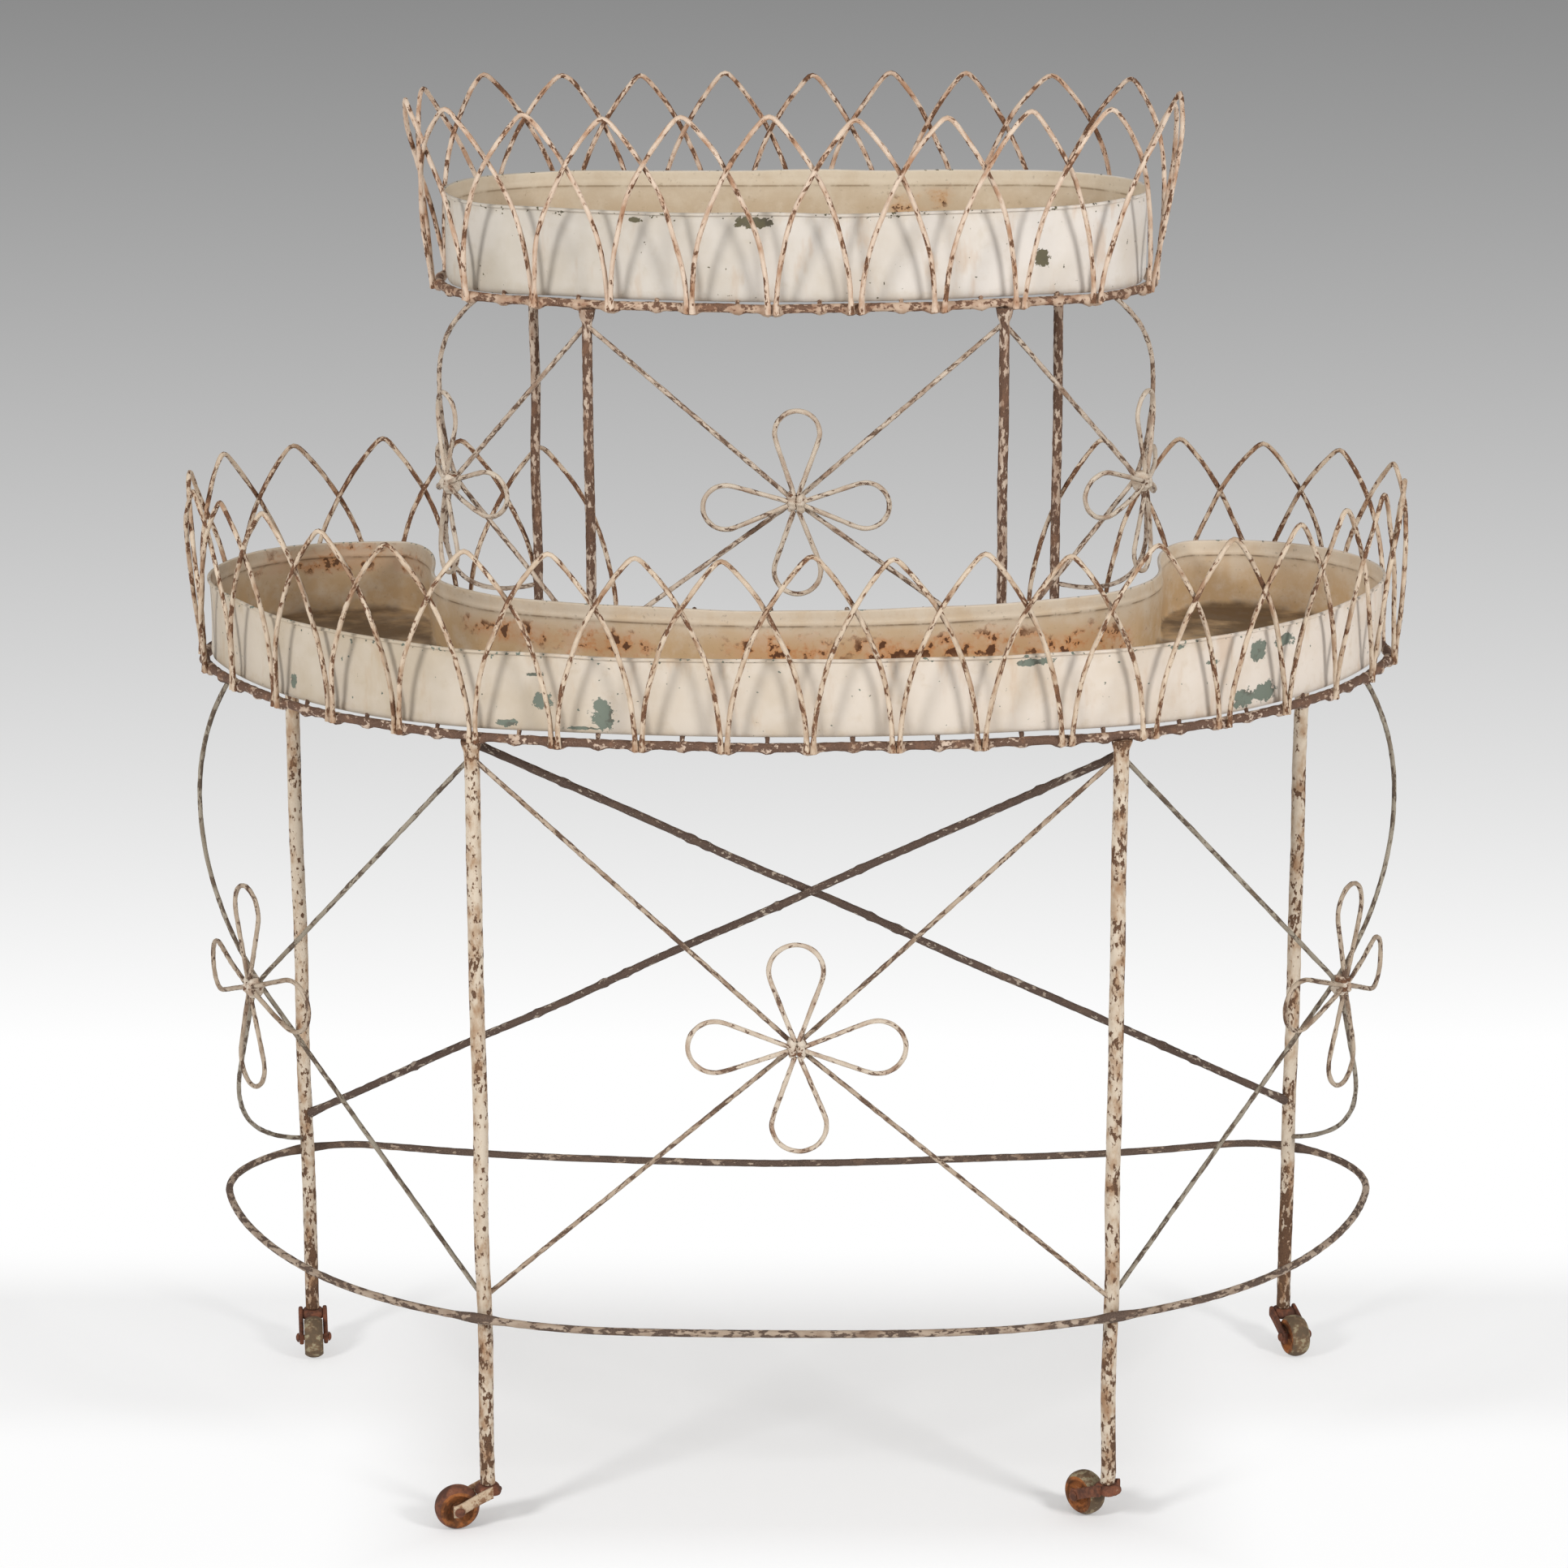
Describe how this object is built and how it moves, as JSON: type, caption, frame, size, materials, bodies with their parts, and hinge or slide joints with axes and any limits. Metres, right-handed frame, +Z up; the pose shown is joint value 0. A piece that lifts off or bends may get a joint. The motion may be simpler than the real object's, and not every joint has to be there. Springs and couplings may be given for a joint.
{
  "type": "plant stand",
  "caption": "Half-round tiered wirework plant stand with interlaced arched galleries, flower panels, lift-out sheet liners and swivel casters.",
  "frame": {"origin": "on the floor, under the middle of the stand's width and depth", "axes": "+X to the stand's right as it is faced, +Y to its flat back, +Z up"},
  "size_m": [1.0503, 0.4856, 1.1713],
  "materials": {
    "painted_wire": "chipped cream paint over rust",
    "bare_rod": "dark rust with flecks of old paint",
    "ring_iron": "brown rust with worn paint",
    "painted_sheet": "cream paint, chipped and stained",
    "caster_iron": "rusted, rough",
    "wheel_iron": "worn, rusted"
  },
  "bodies": {
    "frame": {"cross_brace_from_left": "painted_wire", "cross_brace_from_right": "painted_wire", "leg_front_left": "painted_wire", "leg_front_right": "painted_wire", "leg_rear_left": "painted_wire", "leg_rear_right": "painted_wire", "lower_front_flower": "painted_wire", "lower_front_knot": "painted_wire", "lower_front_wires": "painted_wire", "lower_gallery": "painted_wire", "lower_left_flower": "painted_wire", "lower_left_knot": "painted_wire", "lower_left_wires": "painted_wire", "lower_right_flower": "painted_wire", "lower_right_knot": "painted_wire", "lower_right_wires": "painted_wire", "lower_tray_bars": "painted_wire", "lower_tray_ring": "ring_iron", "stretcher_hoop": "ring_iron", "upper_front_flower": "painted_wire", "upper_front_knot": "painted_wire", "upper_front_wires": "painted_wire", "upper_gallery": "painted_wire", "upper_left_flower": "painted_wire", "upper_left_knot": "painted_wire", "upper_left_wires": "painted_wire", "upper_right_flower": "painted_wire", "upper_right_knot": "painted_wire", "upper_right_wires": "painted_wire", "upper_stage_bearer": "ring_iron", "upper_tray_bars": "painted_wire", "upper_tray_ring": "ring_iron", "upright_front_left": "bare_rod", "upright_front_right": "bare_rod", "upright_rear_left": "bare_rod", "upright_rear_right": "bare_rod"},
    "lower_liner": {"lower_liner": "painted_sheet"},
    "upper_liner": {"upper_liner": "painted_sheet"},
    "swivel_front_left": {"caster_fork_front_left": "caster_iron", "caster_axle_front_left": "caster_iron"},
    "wheel_front_left": {"caster_wheel_front_left": "wheel_iron"},
    "swivel_front_right": {"caster_fork_front_right": "caster_iron", "caster_axle_front_right": "caster_iron"},
    "wheel_front_right": {"caster_wheel_front_right": "wheel_iron"},
    "swivel_rear_left": {"caster_fork_rear_left": "caster_iron", "caster_axle_rear_left": "caster_iron"},
    "wheel_rear_left": {"caster_wheel_rear_left": "wheel_iron"},
    "swivel_rear_right": {"caster_fork_rear_right": "caster_iron", "caster_axle_rear_right": "caster_iron"},
    "wheel_rear_right": {"caster_wheel_rear_right": "wheel_iron"}
  },
  "joints": [
    {"name": "lower_liner_lift", "type": "slide", "parent": "frame", "child": "lower_liner", "axis": [0, 0, 1], "range_m": [0, 0.155]},
    {"name": "upper_liner_lift", "type": "slide", "parent": "frame", "child": "upper_liner", "axis": [0, 0, 1], "range_m": [0, 0.155]},
    {"name": "swivel_turn_front_left", "type": "hinge", "parent": "frame", "child": "swivel_front_left", "pos_m": [-0.262, -0.19327, 0.04], "axis": [0, 0, 1], "continuous": true},
    {"name": "wheel_roll_front_left", "type": "hinge", "parent": "swivel_front_left", "child": "wheel_front_left", "pos_m": [-0.28808, -0.20026, 0.019], "axis": [0.2588, -0.9659, 0], "continuous": true},
    {"name": "swivel_turn_front_right", "type": "hinge", "parent": "frame", "child": "swivel_front_right", "pos_m": [0.262, -0.19327, 0.04], "axis": [0, 0, 1], "continuous": true},
    {"name": "wheel_roll_front_right", "type": "hinge", "parent": "swivel_front_right", "child": "wheel_front_right", "pos_m": [0.24464, -0.17259, 0.019], "axis": [-0.766, -0.6428, 0], "continuous": true},
    {"name": "swivel_turn_rear_left", "type": "hinge", "parent": "frame", "child": "swivel_rear_left", "pos_m": [-0.451, 0.19033, 0.04], "axis": [0, 0, 1], "continuous": true},
    {"name": "wheel_roll_rear_left", "type": "hinge", "parent": "swivel_rear_left", "child": "wheel_rear_left", "pos_m": [-0.44771, 0.16353, 0.019], "axis": [0.9925, 0.1219, 0], "continuous": true},
    {"name": "swivel_turn_rear_right", "type": "hinge", "parent": "frame", "child": "swivel_rear_right", "pos_m": [0.451, 0.19033, 0.04], "axis": [0, 0, 1], "continuous": true},
    {"name": "wheel_roll_rear_right", "type": "hinge", "parent": "swivel_rear_right", "child": "wheel_rear_right", "pos_m": [0.45934, 0.16465, 0.019], "axis": [0.9511, 0.309, 0], "continuous": true}
  ]
}
